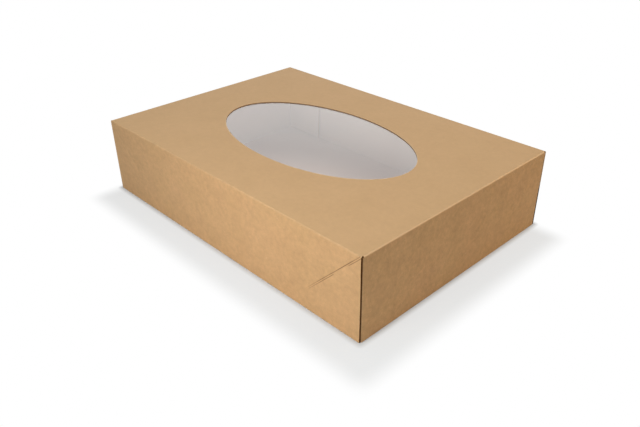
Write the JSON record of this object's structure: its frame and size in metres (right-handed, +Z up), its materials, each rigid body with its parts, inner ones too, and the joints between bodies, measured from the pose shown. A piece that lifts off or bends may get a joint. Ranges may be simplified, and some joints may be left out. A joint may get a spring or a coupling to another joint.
{
  "type": "cardboard tray box with window lid",
  "caption": "Low rectangular kraft cardboard box for carrying food: an open folded tray under a deep lift-off lid with an oval film window in its top.",
  "frame": {"origin": "middle of the box's underside", "axes": "+X along the long sides, +Y along the short sides, +Z up"},
  "size_m": [0.362, 0.253, 0.08],
  "materials": {
    "kraft_board": "matte",
    "clear_film": "gloss"
  },
  "bodies": {
    "tray": {"tray": "kraft_board"},
    "lid": {"lid": "kraft_board", "window_film": "clear_film"}
  },
  "joints": [
    {"name": "lid_lift", "type": "slide", "parent": "tray", "child": "lid", "axis": [0, 0, 1], "range_m": [0, 0.1]}
  ]
}
